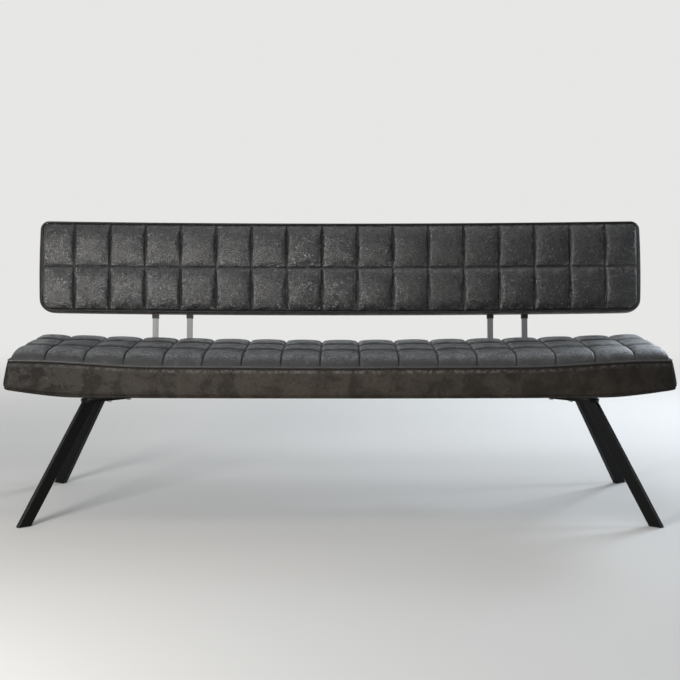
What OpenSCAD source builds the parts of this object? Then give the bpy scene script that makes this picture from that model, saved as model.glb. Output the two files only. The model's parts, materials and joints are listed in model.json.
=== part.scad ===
// Upholstered dining bench: a long quilted seat and a quilted backrest on four splayed steel legs.
// Millimetres. +Z is up, +X runs along the bench, and people sit facing -Y.
// The origin is on the floor, under the middle of the bench's outline. Left is -X.

/* [Seat] */
// Length over the seat's side band
seat_length = 2000; // [1700:10:2300]
// Depth over the seat's side band
seat_depth = 500; // [460:5:560]
// Height of the seat's underside above the floor
seat_underside = 382; // [340:1:420]
// Height of the side band at the middle of the bench, from the underside to the top seam
seat_band_h = 89; // [84:1:110]
// How far the top seam rises from the middle of the bench to its ends
seam_lift = 22; // [0:1:30]
// How far the underside rises at the two ends
underside_lift = 32; // [0:1:36]
// Length at each end over which the underside rises
lift_span = 200; // [150:5:215]
// How far the top seam sits in from the band's widest line
seam_inset = 13; // [8:1:18]
// Radius of the rounded lower edge of the side band
band_edge_r = 14; // [8:1:20]
// Corner radius of the side band, seen from above
seat_corner_r = 22; // [20:1:60]
// Height of the quilted panel's crown above the top seam, at the middle of the bench
seat_crown = 30; // [25:1:45]
// How far the crown rises from the middle of the bench to its ends
crown_lift = 15; // [0:1:20]
// How far each quilted square swells above its seams
seat_puff = 6; // [4:1:16]
// Rows of quilted squares across the seat
seat_rows = 3; // [2:1:4]

/* [Seat frame] */
// Height of the wooden rails
rail_h = 55; // [50:1:60]
// Thickness of the wooden rails
rail_t = 25; // [18:1:32]
// Thickness of the boards that the legs and the back brackets are bolted to
mount_board_t = 22; // [15:1:28]
// Thickness of the plywood deck
deck_t = 9; // [6:0.5:10]
// Thickness of the foam on the deck
foam_t = 14; // [8:1:14]
// Side of the corner blocks
corner_block = 60; // [40:1:80]
// Height of the corner blocks
corner_block_h = 24; // [15:1:25]
// Spacing of the cross rails between the mounting boards
cross_rail_pitch = 235; // [180:5:320]

/* [Leather] */
// Width of a quilted square along the bench
quilt_pitch = 117.6; // [90:0.1:140]
// Thickness of the leather at the seams
leather_t = 3; // [2:0.5:4]
// Width of the hem that is folded under the frame
hem_w = 29; // [20:1:32]
// Thickness of the hem and of the dust cover beside it
hem_t = 2; // [1.5:0.5:3]
// Radius of the piping
piping_r = 3; // [2:0.5:3.5]
// Gap between the covers and what they cover
cover_gap = 0.3; // [0.2:0.1:0.5]
// Length of a staple in the hem
staple_l = 11; // [8:1:14]
// Thickness of a staple's wire
staple_t = 1; // [0.6:0.1:1.2]
// Distance from one staple to the next
staple_pitch = 58; // [40:1:90]

/* [Backrest] */
// Length over the backrest's side band
back_length = 2000; // [1700:10:2200]
// Height of the backrest's face between its seams
back_face_h = 295; // [250:5:340]
// Height of the lower front seam above the floor, at the middle of the bench
back_seam_z = 583; // [570:1:640]
// Distance from the seat's band back to the lower front seam
back_setback = 9; // [5:1:30]
// How far the backrest leans back, in degrees
back_tilt = 11.2; // [8:0.2:16]
// How far both long seams rise from the middle of the bench to its ends
back_bow = 8; // [0:1:10]
// How far the backrest's seams sit in from its band's widest line
back_seam_inset = 6; // [4:1:9]
// Corner radius of the backrest
back_corner_r = 34; // [26:1:50]
// How far each quilted square swells out of the face
back_puff = 10; // [6:1:18]
// Rows of quilted squares up the backrest
back_rows = 2; // [2:1:3]
// Depth of the quilted panel behind its seams
back_quilt_t = 10; // [8:1:14]
// Thickness of the front foam
back_foam_t = 25; // [20:1:32]
// Thickness of the two boards that close the wooden frame
back_board_t = 4; // [3:0.5:6]
// Thickness of the timbers between those boards
timber_t = 30; // [28:1:36]
// Height of the top and bottom timbers
timber_h = 30; // [22:1:40]
// Thickness of the padding on the rear
rear_pad_t = 10; // [6:1:14]
// Thickness of the rear cover
rear_cover_t = 2; // [1.5:0.5:3]

/* [Back posts] */
// Side of the square posts
post_w = 18; // [16:1:22]
// Wall of the square posts
post_wall = 1.5; // [1:0.1:2.5]
// Distance from the seat's end to the middle of the outer post
post_end_inset = 381; // [370:1:420]
// Distance between the two posts of a pair
post_pitch = 115; // [100:1:125]
// How far a post reaches into its block
post_insert = 150; // [100:5:170]
// Width of the wooden block that a post is held in
post_block_w = 60; // [50:1:80]
// Gap round a post in its block and its collar
post_gap = 0.2; // [0.1:0.05:0.4]
// Wall of the collar round each post
collar_wall = 1.5; // [1:0.1:3]
// How far the collar stands out of the backrest
collar_drop = 10; // [5:1:16]
// How far the bracket reaches under the seat, from the back of the seat's band
bracket_reach = 130; // [120:1:132]
// How far the bracket stands out round the posts
bracket_margin = 6; // [3:1:8]
// Radius of the screws that hold the posts in their blocks
post_screw_r = 3; // [2:0.5:3.5]

/* [Legs] */
// Distance from the seat's end to the middle of a leg's top
leg_end_inset = 236; // [230:1:270]
// Distance from the seat's long side to the middle of a leg's top
leg_side_inset = 90; // [86:1:110]
// How far a foot stands out from the leg's top along the bench
leg_splay_x = 184; // [150:1:210]
// How far a foot stands out from the leg's top across the bench
leg_splay_y = 123; // [100:1:140]
// Wide side of the leg tube, in the plane that the leg leans in
leg_w = 35; // [28:1:40]
// Narrow side of the leg tube
leg_d = 20; // [16:1:26]
// Wall of the leg tube
leg_wall = 2; // [1.5:0.1:3]
// Rounding of the tube's edges
leg_edge_r = 2; // [1:0.5:3]
// Thickness of the leg and bracket plates
plate_t = 8; // [5:0.5:10]
// Width of the leg plate
plate_w = 52; // [50:1:64]
// Length of the leg plate from the leg's middle towards the middle of the bench
plate_in = 140; // [130:1:145]
// Length of the leg plate from the leg's middle outwards
plate_out = 24; // [23:1:32]
// Rounding of the bracket plates' corners
plate_corner_r = 6; // [3:1:10]
// Rounding of the leg plates' ends
leg_plate_r = 23; // [16:1:24]
// Thickness of the packer between a leg plate and the seat's underside
packer_t = 15; // [8:1:16]
// Length of the packer from the leg's middle outwards
packer_out = 16; // [14:1:20]
// Thickness of the foot's sole
sole_t = 3; // [2:0.5:6]
// How far the foot's plug reaches into the tube
plug_h = 18; // [10:1:30]
// Gap round the plug in the tube
plug_gap = 0.2; // [0.1:0.05:0.4]

/* [Bolts] */
// Radius of the bolts
bolt_r = 4; // [3:0.5:5]
// Width of a bolt's hexagonal head across its flats
bolt_af = 13; // [10:0.5:15]
// Height of a bolt's head
bolt_head_h = 5.3; // [4:0.1:7]
// Extra radius of the holes that bolts pass through
bolt_play = 0.3; // [0.2:0.1:0.5]
// Distance of a plate's bolts from the plate's edges
bolt_edge = 14; // [12:1:16]
// Distance between a leg plate's bolts, along the plate
bolt_pitch = 64; // [50:1:68]
// Wall of a tee nut's barrel
nut_wall = 1.2; // [0.8:0.1:2]
// Length of a tee nut's barrel
nut_l = 10; // [8:1:12]
// Radius of a tee nut's flange
nut_flange_r = 10; // [8:1:11]
// Thickness of a tee nut's flange
nut_flange_t = 1.5; // [1:0.1:2]

/* [Hidden] */
$fn = 32;

// Colours
seat_leather = "#6d7173";
band_leather = "#595450";
back_leather = "#4f5152";
wood = "#c9a878";
plywood = "#d8bd90";
foam = "#e6ddc0";
polished = "#c8cacc";
zinc = "#a9adb0";
black = "#1c1c1d";

// Fineness of the upholstery: steps across a quilted square, and along the sides and corners of a band
square_steps = 4;
seat_long_steps = 22;
back_long_steps = 16;
short_steps = 4;
corner_steps = 4;
piping_sides = 6;
// Least corner radius of a loop inside a band
least_r = 2;

// Shape of the seat's lifted ends: the share of the rise that is steady, and where the rest starts and how
// long it takes, as shares of the half length
steady_rise = 0.25;
rise_start = 0.55;
rise_run = 0.4;
lift_power = 1.6;
// Height of the band's widest line, as a share of its height
band_widest = 0.3;
// How steeply the seat's crown falls to its long sides and to its ends
side_fall = 5;
end_fall = 40;

// Heights through the seat
bracket_bottom = seat_underside - plate_t;
plate_top = seat_underside - packer_t;
plate_bottom = plate_top - plate_t;
frame_bottom = seat_underside + hem_t + cover_gap;
board_top = frame_bottom + mount_board_t;
frame_top = frame_bottom + rail_h;
deck_top = frame_top + deck_t;
quilt_base = deck_top + foam_t;
// Half sizes of the wooden frame, the deck and the foam, inside the side band
band_in = seam_inset + leather_t;
inner_gap = band_in + cover_gap;
frame_hx = seat_length / 2 - inner_gap;
frame_hy = seat_depth / 2 - inner_gap;
frame_r = seat_corner_r - band_in;
hem_reach = band_in + hem_w;
// The underside is flat as far as this from the middle
flat_x = seat_length / 2 - lift_span;

// Layers of the backrest, as distances behind the front seams
back_board_1 = back_quilt_t + back_foam_t;
timber_front = back_board_1 + back_board_t;
timber_back = timber_front + timber_t;
back_pad_front = timber_back + back_board_t;
back_cover_front = back_pad_front + rear_pad_t;
back_t = back_cover_front + rear_cover_t;
post_depth = timber_front + timber_t / 2;
back_front_y = seat_depth / 2 + back_setback;
// Half sizes of the backrest's band, and of the straight frame inside it
back_hx = back_length / 2;
back_hy = back_face_h / 2 + back_seam_inset;
back_in = back_seam_inset + leather_t;
core_hx = back_hx - back_in - cover_gap;
core_hy = back_hy - back_in - cover_gap - back_bow / 2;
core_y = back_bow / 2;
core_r = back_corner_r - back_in;

// Posts and brackets
post_outer_x = seat_length / 2 - post_end_inset;
post_inner_x = post_outer_x - post_pitch;
post_foot_s = (seat_underside - back_seam_z + post_depth * sin(back_tilt)) / cos(back_tilt);
post_foot_y = back_front_y + post_depth * cos(back_tilt) + post_foot_s * sin(back_tilt);
post_foot_half = post_w / 2 / cos(back_tilt);
bracket_x1 = post_inner_x - post_w / 2 - bracket_margin;
bracket_x2 = post_outer_x + post_w / 2 + bracket_margin;
bracket_y1 = seat_depth / 2 - bracket_reach;
bracket_y2 = post_foot_y + post_foot_half + bracket_margin;

// Legs
leg_top_x = seat_length / 2 - leg_end_inset;
leg_top_y = seat_depth / 2 - leg_side_inset;
leg_foot_x = leg_top_x + leg_splay_x;
leg_foot_y = leg_top_y + leg_splay_y;
leg_lean = atan(norm([leg_splay_x, leg_splay_y]) / plate_bottom);
leg_turn = atan(leg_splay_y / leg_splay_x);
leg_cut = leg_w / cos(leg_lean);
board_x1 = bracket_x1 - bolt_edge;

// Bolts and tee nuts
nut_r = bolt_r + nut_wall;
nut_play = 0.05;
// Gap between a tee nut and the rail beside it
nut_clear = 1;
bracket_bolt_xs = [bracket_x1 + bolt_edge, bracket_x2 - bolt_edge];
bracket_bolt_ys = [bracket_y1 + bolt_edge, frame_hy - rail_t - nut_flange_r - nut_clear];
plate_bolt_xs = [-plate_in + bolt_edge, -plate_in + bolt_edge + bolt_pitch];
plate_bolt_ys = [-plate_w / 2 + bolt_edge, plate_w / 2 - bolt_edge];

// Screws in the post blocks: their distance above the lower timber and below the top of the post, their
// heads, and the wood that is left in front of their tips
screw_above_rail = 30;
screw_below_top = 20;
post_screw_zs = [back_in + timber_h + screw_above_rail, post_insert - screw_below_top];
screw_head_r = 2 * post_screw_r;
screw_head_h = 4;
screw_rest = 2.5;
screw_l = timber_t - screw_rest;

// The outline of the whole bench across its depth, which puts the origin in its middle
foot_reach_y = leg_foot_y + (leg_cut * sin(leg_turn) + leg_d * cos(leg_turn)) / 2
    - leg_edge_r * (sin(leg_turn) + cos(leg_turn) - 1);
rear_top_y = back_front_y + (back_face_h + back_bow - leather_t / 2) * sin(back_tilt)
    + (back_t + piping_r + cover_gap) * cos(back_tilt) + piping_r;
origin_y = (rear_top_y - foot_reach_y) / 2;

left_right = [-1, 1];
front_rear = [-1, 1];

// Eased step from 0 to 1
function smooth(t) = let (k = min(max(t, 0), 1)) k * k * (3 - 2 * k);

// Heights of the seat's top seam and underside at a place along the bench
function along(x) = min(abs(x) / (seat_length / 2 - seam_inset), 1);
function rise(x) = steady_rise * along(x)
    + (1 - steady_rise) * smooth((along(x) - rise_start) / rise_run);
function seam_z(x) = seat_underside + seat_band_h + seam_lift * rise(x);
function under_z(x) = seat_underside
    + underside_lift * pow(max(abs(x) - flat_x, 0) / lift_span, lift_power);

// Rise of the backrest's seams at a place along the bench
function bow(x) = back_bow * pow(x / back_hx, 2);

// Points round a rectangle with rounded corners, anticlockwise, as many for every size. The points on the
// long sides step from straight to -straight, so they keep their places in loops of every size.
function side_points(a, b, n) = [for (i = [0:n - 1]) a + (b - a) * i / n];
function long_points(y, s, cx, straight, n) =
    [for (i = [0:n - 1]) [s * max(min(straight * (1 - 2 * i / n), cx), -cx), y]];
function corner_points(c, r, a0, n) =
    [for (i = [0:n - 1]) c + r * [cos(a0 + 90 * i / n), sin(a0 + 90 * i / n)]];
function outline(hx, hy, r, straight, nx) = let (cx = hx - r, cy = hy - r) concat(
    side_points([hx, -cy], [hx, cy], short_steps), corner_points([cx, cy], r, 0, corner_steps),
    long_points(hy, 1, cx, straight, nx), corner_points([-cx, cy], r, 90, corner_steps),
    side_points([-hx, cy], [-hx, -cy], short_steps), corner_points([-cx, -cy], r, 180, corner_steps),
    long_points(-hy, -1, cx, straight, nx), corner_points([cx, -cy], r, 270, corner_steps));

// The seat's and the backrest's outlines, a distance in from their widest line
function seat_outline(inset) = outline(seat_length / 2 - inset, seat_depth / 2 - inset,
    max(seat_corner_r - inset, least_r), seat_length / 2 - seat_corner_r, seat_long_steps);
function back_outline(inset) = [for (p = outline(back_hx - inset, back_hy - inset,
    max(back_corner_r - inset, least_r), back_hx - back_corner_r, back_long_steps)) [p.x, p.y + bow(p.x)]];

// A closed tube of loops of points, each loop with as many points, and the last joined to the first
module swept(loops) {
    n = len(loops[0]);
    m = len(loops);
    polyhedron([for (loop = loops) each loop], [for (j = [0:m - 1]) for (i = [0:n - 1])
        let (a = j * n + i, b = j * n + (i + 1) % n,
             c = (j + 1) % m * n + (i + 1) % n, d = (j + 1) % m * n + i)
        each [[a, d, c], [a, c, b]]], convexity = 8);
}

// Piping of round section along a closed path that lies almost flat
module piping(path, r) {
    n = len(path);
    out = [for (i = [0:n - 1]) let (t = path[(i + 1) % n] - path[(i + n - 1) % n], f = [t.x, t.y])
        [f.y, -f.x, 0] / norm(f)];
    swept([for (k = [0:piping_sides - 1]) let (a = 360 * (k + 0.5) / piping_sides - 90)
        [for (i = [0:n - 1]) path[i] + r * cos(a) * out[i] + [0, 0, r * sin(a)]]]);
}

// Lines between quilted squares: equal columns either side of the middle one, and what is left at the ends
function column_lines(half) = let (n = max(round(half / quilt_pitch - 0.5), 1))
    concat([-half], [for (k = [-n:n - 1]) (k + 0.5) * quilt_pitch], [half]);
function row_lines(half, rows) = [for (k = [0:rows]) half * (2 * k / rows - 1)];
function split(lines) = concat([for (i = [0:len(lines) - 2]) for (k = [0:square_steps - 1])
    lines[i] + (lines[i + 1] - lines[i]) * k / square_steps], [lines[len(lines) - 1]]);

// A point of a rectangle, moved so that the rectangle's corners become round
function rounded(x, y, hx, hy, r) = let (
    u = max(abs(x) - hx + r, 0), v = max(abs(y) - hy + r, 0),
    dx = u - u * sqrt(1 - v * v / (2 * r * r)), dy = v - v * sqrt(1 - u * u / (2 * r * r)))
    [x - sign(x) * dx, y - sign(y) * dy];

// A quilted panel with a flat back. top(x, y) is the height of its seams and shift(x) moves it across.
module quilt(hx, hy, r, rows, puff, base, top, shift) {
    xs = split(column_lines(hx));
    ys = split(row_lines(hy, rows));
    nx = len(xs) - 1;
    ny = len(ys) - 1;
    swell = function (i, j) puff * sqrt(sin(180 * (i % square_steps) / square_steps)
        * sin(180 * (j % square_steps) / square_steps));
    face = [for (j = [0:ny]) for (i = [0:nx]) let (p = rounded(xs[i], ys[j], hx, hy, r))
        [p.x, p.y + shift(p.x), top(p.x, p.y) + swell(i, j)]];
    rim = concat([for (i = [0:nx - 1]) i], [for (j = [0:ny - 1]) j * (nx + 1) + nx],
        [for (i = [nx:-1:1]) ny * (nx + 1) + i], [for (j = [ny:-1:1]) j * (nx + 1)]);
    n = len(rim);
    back = [for (k = rim) [face[k].x, face[k].y, base]];
    first = len(face);
    polyhedron(concat(face, back, [[0, 0, base]]), concat(
        [for (j = [0:ny - 1]) for (i = [0:nx - 1]) let (a = j * (nx + 1) + i, d = a + nx + 1)
            each [[a, d, d + 1], [a, d + 1, a + 1]]],
        [for (k = [0:n - 1]) let (l = (k + 1) % n)
            each [[rim[k], rim[l], first + l], [rim[k], first + l, first + k]]],
        [for (k = [0:n - 1]) [first + k, first + (k + 1) % n, first + n]]), convexity = 8);
}

// Rectangle with true round corners
module rounded_square(w, d, r) {
    square([w - 2 * r, d], center = true);
    square([w, d - 2 * r], center = true);
    for (x = left_right, y = front_rear)
        translate([x * (w / 2 - r), y * (d / 2 - r)]) circle(r);
}
module slab(hx, hy, r, z1, z2) {
    translate([0, 0, z1]) linear_extrude(z2 - z1) rounded_square(2 * hx, 2 * hy, r);
}
module block(x1, x2, y1, y2, z1, z2) {
    translate([x1, y1, z1]) cube([x2 - x1, y2 - y1, z2 - z1]);
}
module hole(x, y, r, z1, z2) {
    translate([x, y, z1]) cylinder(r = r, h = z2 - z1);
}

// Everything is drawn about the middle of the seat, and stands here about the middle of the outline
module placed() {
    translate([0, -origin_y, 0]) children();
}

// Seat frame
straight_hx = seat_length / 2 - seat_corner_r;
under_xs = concat([-frame_hx],
    [for (i = [0:seat_long_steps]) straight_hx * (2 * i / seat_long_steps - 1)], [frame_hx]);

// A timber along the bench whose lower edge follows the lifted underside
module rail(y1, y2) {
    bottom = [for (x = under_xs) [x, under_z(x) + hem_t + cover_gap]];
    intersection() {
        translate([0, y2, 0]) rotate([90, 0, 0]) linear_extrude(y2 - y1)
            polygon(concat(bottom, [[frame_hx, frame_top], [-frame_hx, frame_top]]));
        slab(frame_hx, frame_hy, frame_r, seat_underside, frame_top);
    }
}
module seat_front_rail() color(wood) placed() rail(-frame_hy, -frame_hy + rail_t);
module seat_rear_rail() color(wood) placed() rail(frame_hy - rail_t, frame_hy);
module seat_end_rails() color(wood) placed() for (s = left_right) intersection() {
    rail(-frame_hy + rail_t, frame_hy - rail_t);
    block(s * (frame_hx - rail_t / 2) - rail_t / 2, s * (frame_hx - rail_t / 2) + rail_t / 2,
        -frame_hy, frame_hy, seat_underside, frame_top);
}
module seat_cross_rails() color(wood) placed() {
    half = floor((board_x1 - rail_t) / cross_rail_pitch);
    for (i = [-half:half])
        block(i * cross_rail_pitch - rail_t / 2, i * cross_rail_pitch + rail_t / 2,
            -frame_hy + rail_t, frame_hy - rail_t, frame_bottom, frame_top);
}
module seat_corner_blocks() color(wood) placed() for (s = left_right, t = front_rear)
    translate([s * (frame_hx - rail_t), t * (frame_hy - rail_t), frame_top - corner_block_h])
        linear_extrude(corner_block_h) polygon([[0, 0], [-s * corner_block, 0], [0, -t * corner_block]]);

// Where the bolts go: leg bolts in each leg's own plate, and bracket bolts in rows
module at_leg_top(s, t) translate([s * leg_top_x, t * leg_top_y, 0])
    rotate(atan2(t * leg_splay_y, s * leg_splay_x)) children();
module at_leg_bolts() for (s = left_right, t = front_rear) at_leg_top(s, t)
    for (x = plate_bolt_xs, y = plate_bolt_ys) translate([x, y, 0]) children();
module at_bracket_bolts() for (s = left_right, x = bracket_bolt_xs, y = bracket_bolt_ys)
    translate([s * x, y, 0]) children();

module seat_mount_boards() color(plywood) placed() difference() {
    for (s = left_right) block(min(s * board_x1, s * flat_x), max(s * board_x1, s * flat_x),
        -frame_hy + rail_t, frame_hy - rail_t, frame_bottom, board_top);
    at_leg_bolts() hole(0, 0, nut_r + nut_play, frame_bottom - 1, board_top + 1);
    at_bracket_bolts() hole(0, 0, nut_r + nut_play, frame_bottom - 1, board_top + 1);
}
module seat_deck() color(plywood) placed() slab(frame_hx, frame_hy, frame_r, frame_top, deck_top);
module seat_foam() color(foam) placed() slab(frame_hx, frame_hy, frame_r, deck_top, quilt_base);

// Seat upholstery
function crown(x, y) = let (plateau = seat_underside + seat_band_h + seat_crown + crown_lift * rise(x))
    seam_z(x) + (plateau - seam_z(x)) * (1 - pow(abs(y) / frame_hy, side_fall))
        * (1 - pow(abs(x) / frame_hx, end_fall));
module seat_quilt() color(seat_leather) placed()
    quilt(frame_hx, frame_hy, frame_r, seat_rows, seat_puff, quilt_base,
        function (x, y) crown(x, y), function (x) 0);

// The band's section, from the hem round the lower edge and up to the seam, then down inside: distance in
// from the widest line, height above the underside, and a share of the band's height added to that
band_section = concat(
    [[hem_reach, 0, 0]],
    [for (i = [0:2]) [band_edge_r * (1 - sin(45 * i)), band_edge_r * (1 - cos(45 * i)), 0]],
    [for (i = [0:3]) [seam_inset * pow(i / 3, 2), 0, band_widest + (1 - band_widest) * i / 3]],
    [[band_in, 0, 1], [band_in, hem_t, 0], [hem_reach, hem_t, 0]]);
module seat_band() color(band_leather) placed()
    swept([for (s = band_section) [for (p = seat_outline(s[0]))
        [p.x, p.y, under_z(p.x) + s[1] + s[2] * (seam_z(p.x) - under_z(p.x))]]]);
module seat_piping() color(seat_leather) placed()
    piping([for (p = seat_outline(seam_inset + leather_t / 2))
        [p.x, p.y, seam_z(p.x) + piping_r + cover_gap]], piping_r);
module seat_dust_cover() color(black) placed() {
    hx = seat_length / 2 - hem_reach - cover_gap;
    hy = seat_depth / 2 - hem_reach - cover_gap;
    xs = [for (x = under_xs) min(max(x, -hx), hx)];
    difference() {
        translate([0, hy, 0]) rotate([90, 0, 0]) linear_extrude(2 * hy) polygon(concat(
            [for (x = xs) [x, under_z(x)]],
            [for (i = [len(xs) - 1:-1:0]) [xs[i], under_z(xs[i]) + hem_t]]));
        at_leg_bolts() hole(0, 0, bolt_r + bolt_play, seat_underside - 1, frame_bottom);
        at_bracket_bolts() hole(0, 0, bolt_r + bolt_play, seat_underside - 1, frame_bottom);
    }
}
module hem_staples() color(zinc) placed() {
    half = floor((flat_x - staple_l) / staple_pitch);
    y = seat_depth / 2 - hem_reach + hem_w / 2;
    for (t = front_rear, i = [-half:half]) {
        x = i * staple_pitch;
        beside_bracket = abs(x) + staple_l / 2 < bracket_x1 || abs(x) - staple_l / 2 > bracket_x2;
        if (t < 0 || beside_bracket)
            block(x - staple_l / 2, x + staple_l / 2, t * y - staple_t / 2, t * y + staple_t / 2,
                seat_underside - staple_t, seat_underside);
    }
}

// Backrest. In this frame x runs along it, y up its face and z out of it, from the middle of its front seams.
module on_back() placed() translate([0, back_front_y, back_seam_z]) rotate([90 - back_tilt, 0, 0])
    translate([0, back_face_h / 2, 0]) children();
module core(front, back) intersection() {
    translate([0, core_y, 0]) slab(core_hx, core_hy, core_r, -back, -front);
    children();
}
module core_part(x1, x2, y1, y2) core(timber_front, timber_back)
    block(x1, x2, y1, y2, -timber_back, -timber_front);
core_bottom = core_y - core_hy;
core_top = core_y + core_hy;
post_xs = [-post_outer_x, -post_inner_x, post_inner_x, post_outer_x];
post_top = -back_face_h / 2 + post_insert;

// Square hole for a post, through the lower timber and up into its block
module post_holes(size, top) for (x = post_xs)
    block(x - size / 2, x + size / 2, -2 * back_face_h, top, -post_depth - size / 2, -post_depth + size / 2);

module back_bottom_rail() color(wood) on_back() difference() {
    core_part(-core_hx, core_hx, core_bottom, core_bottom + timber_h);
    post_holes(post_w + 2 * post_gap, post_top);
}
module back_top_rail() color(wood) on_back()
    core_part(-core_hx, core_hx, core_top - timber_h, core_top);
module back_end_stiles() color(wood) on_back() for (s = left_right)
    core_part(s > 0 ? core_hx - timber_h : -core_hx, s > 0 ? core_hx : timber_h - core_hx,
        core_bottom + timber_h, core_top - timber_h);
module at_post_screws() for (x = post_xs, y = post_screw_zs)
    translate([x, y - back_face_h / 2, -timber_back]) children();
module back_post_blocks() color(wood) on_back() difference() {
    for (x = post_xs) core_part(x - post_block_w / 2, x + post_block_w / 2,
        core_bottom + timber_h, core_top - timber_h);
    post_holes(post_w + 2 * post_gap, post_top + post_gap);
    at_post_screws() {
        translate([0, 0, -1]) cylinder(r = post_screw_r + post_gap, h = screw_l + post_gap + 1);
        translate([0, 0, -1]) cylinder(r = screw_head_r + post_gap, h = screw_head_h + 1);
    }
}
module back_front_board() color(plywood) on_back() core(back_board_1, timber_front)
    block(-back_hx, back_hx, -back_face_h, back_face_h, -timber_front, -back_board_1);
module back_rear_board() color(plywood) on_back() core(timber_back, back_pad_front)
    block(-back_hx, back_hx, -back_face_h, back_face_h, -back_pad_front, -timber_back);
module back_foam() color(foam) on_back() core(back_quilt_t, back_board_1)
    block(-back_hx, back_hx, -back_face_h, back_face_h, -back_board_1, -back_quilt_t);
module back_rear_pad() color(foam) on_back() core(back_pad_front, back_cover_front)
    block(-back_hx, back_hx, -back_face_h, back_face_h, -back_cover_front, -back_pad_front);

module back_quilt() color(back_leather) on_back()
    quilt(core_hx, back_hy - back_in - cover_gap, core_r, back_rows, back_puff, -back_quilt_t,
        function (x, y) 0, function (x) bow(x));

// The backrest's band: distance in from the widest line, and depth behind the front seams
back_section = concat(
    [for (i = [0:4]) [back_seam_inset * pow(i / 2 - 1, 2), back_t * (1 - i / 4)]],
    [[back_in, 0], [back_in, back_t]]);
module back_band() color(back_leather) on_back() difference() {
    swept([for (s = back_section) [for (p = back_outline(s[0])) [p.x, p.y, -s[1]]]]);
    post_holes(post_w + 2 * (post_gap + collar_wall + cover_gap), 0);
}
module back_piping(z)
    piping([for (p = back_outline(back_seam_inset + leather_t / 2)) [p.x, p.y, z]], piping_r);
module back_front_piping() color(black) on_back() back_piping(piping_r + cover_gap);
module back_rear_piping() color(black) on_back() back_piping(-back_t - piping_r - cover_gap);
module back_rear_cover() color(back_leather) on_back() translate([0, 0, -back_t])
    linear_extrude(rear_cover_t) polygon(back_outline(back_in + cover_gap));

// Back posts, their collars, screws and brackets
module post(x) color(polished) difference() {
    on_back() difference() {
        post_body(x, post_w);
        post_body(x, post_w - 2 * post_wall);
        at_post_screws() cylinder(r = post_screw_r + post_gap, h = timber_t);
    }
    placed() block(x - post_w, x + post_w, bracket_y1, seat_depth, 0, seat_underside);
}
module post_body(x, size) block(x - size / 2, x + size / 2,
    -back_face_h / 2 + post_foot_s - 2 * post_w, post_top, -post_depth - size / 2, -post_depth + size / 2);
module post_left_outer() post(-post_outer_x);
module post_left_inner() post(-post_inner_x);
module post_right_inner() post(post_inner_x);
module post_right_outer() post(post_outer_x);
module post_collars() color(black) on_back() difference() {
    for (x = post_xs) {
        half = post_w / 2 + post_gap + collar_wall;
        block(x - half, x + half, -back_hy - collar_drop, core_bottom,
            -post_depth - half, -post_depth + half);
    }
    post_holes(post_w + 2 * post_gap, post_top);
}
module post_screws() color(zinc) on_back() at_post_screws() {
    cylinder(r = screw_head_r, h = screw_head_h);
    cylinder(r = post_screw_r, h = screw_l);
}
module back_bracket(s) color(polished) placed() difference() {
    x = s * (bracket_x1 + bracket_x2) / 2;
    translate([x, (bracket_y1 + bracket_y2) / 2, 0])
        slab((bracket_x2 - bracket_x1) / 2, (bracket_y2 - bracket_y1) / 2, plate_corner_r,
            bracket_bottom, seat_underside);
    at_bracket_bolts() hole(0, 0, bolt_r + bolt_play, bracket_bottom - 1, seat_underside + 1);
}
module back_bracket_left() back_bracket(-1);
module back_bracket_right() back_bracket(1);

// Bolts and tee nuts. A bolt's head sits under a plate, and its end is level with its tee nut's flange.
module bolt(under_plate) color(zinc) translate([0, 0, under_plate]) {
    translate([0, 0, -bolt_head_h]) cylinder(d = bolt_af / cos(30), h = bolt_head_h, $fn = 6);
    cylinder(r = bolt_r, h = board_top + nut_flange_t - under_plate);
}
module tee_nut() color(zinc) difference() {
    union() {
        translate([0, 0, board_top - nut_l]) cylinder(r = nut_r, h = nut_l + nut_flange_t);
        translate([0, 0, board_top]) cylinder(r = nut_flange_r, h = nut_flange_t);
    }
    translate([0, 0, board_top - nut_l - 1]) cylinder(r = bolt_r + nut_play, h = nut_l + nut_flange_t + 2);
}
module bracket_bolts() placed() at_bracket_bolts() bolt(bracket_bottom);
module bracket_tee_nuts() placed() at_bracket_bolts() tee_nut();
module leg_bolts() placed() at_leg_bolts() bolt(plate_bottom);
module leg_tee_nuts() placed() at_leg_bolts() tee_nut();

// Legs. s is -1 on the left and 1 on the right, t is -1 in front and 1 at the rear.
module leaning(s, t, z1, z2) placed() intersection() {
    translate([s * leg_foot_x, t * leg_foot_y, 0])
        rotate([0, leg_lean, 180 + atan2(t * leg_splay_y, s * leg_splay_x)])
            translate([0, 0, -leg_w]) linear_extrude(plate_bottom / cos(leg_lean) + 2 * leg_w) children();
    translate([s * (leg_top_x + leg_foot_x) / 2, t * (leg_top_y + leg_foot_y) / 2, (z1 + z2) / 2])
        cube([leg_splay_x + 4 * leg_w, leg_splay_y + 4 * leg_w, z2 - z1], center = true);
}
module leg(s, t) color(black) leaning(s, t, sole_t, plate_bottom) difference() {
    rounded_square(leg_w, leg_d, leg_edge_r);
    square([leg_w - 2 * leg_wall, leg_d - 2 * leg_wall], center = true);
}
module foot(s, t) color(black) {
    leaning(s, t, 0, sole_t) rounded_square(leg_w, leg_d, leg_edge_r);
    leaning(s, t, sole_t, sole_t + plug_h)
        square([leg_w, leg_d] - 2 * (leg_wall + plug_gap) * [1, 1], center = true);
}
module bolted_slab(out, z1, z2) difference() {
    translate([(out - plate_in) / 2, 0, 0])
        slab((plate_in + out) / 2, plate_w / 2, leg_plate_r, z1, z2);
    for (x = plate_bolt_xs, y = plate_bolt_ys) hole(x, y, bolt_r + bolt_play, z1 - 1, z2 + 1);
}
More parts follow.
